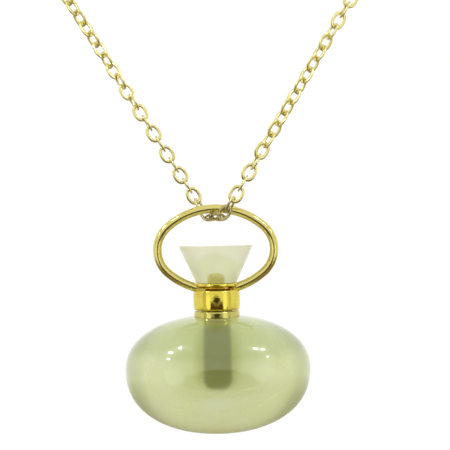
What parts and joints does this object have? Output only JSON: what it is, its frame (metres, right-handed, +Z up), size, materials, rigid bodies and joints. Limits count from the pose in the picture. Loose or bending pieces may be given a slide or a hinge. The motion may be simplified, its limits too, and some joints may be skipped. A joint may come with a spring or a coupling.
{
  "type": "bottle pendant on a chain",
  "caption": "Stone bottle pendant with a gold screw cap, stone stopper and oval wire bail, hung on a looped cable chain with a ring clasp.",
  "frame": {"origin": "middle of the clasp, where the loop of chain lies on the nape of the neck; everything else hangs below it", "axes": "+Z up, +X to the right seen from the front, -Y to the front"},
  "size_m": [0.1219, 0.026, 0.2171],
  "materials": {
    "gold_chain": "bright gold plate on flattened wire",
    "gold_mount": "polished gold plate with fine wear",
    "pale_stone": "polished, translucent and cloudy",
    "green_stone": "polished, translucent and veined"
  },
  "bodies": {
    "necklace": {"chain": "gold_chain", "clasp": "gold_chain", "clasp_ring": "gold_chain"},
    "pendant": {"cap": "gold_mount", "stopper": "pale_stone"},
    "vial": {"neck_ring": "gold_mount", "bottle": "green_stone"}
  },
  "joints": [
    {"name": "pendant_swing", "type": "hinge", "parent": "necklace", "child": "pendant", "pos_m": [0, 0, -0.16952], "axis": [1, 0, 0], "range_deg": [-60, 60]},
    {"name": "bottle_unscrew", "type": "hinge", "parent": "pendant", "child": "vial", "pos_m": [0, 0, -0.20141], "axis": [0, 0, -1], "range_deg": [0, 720]}
  ]
}
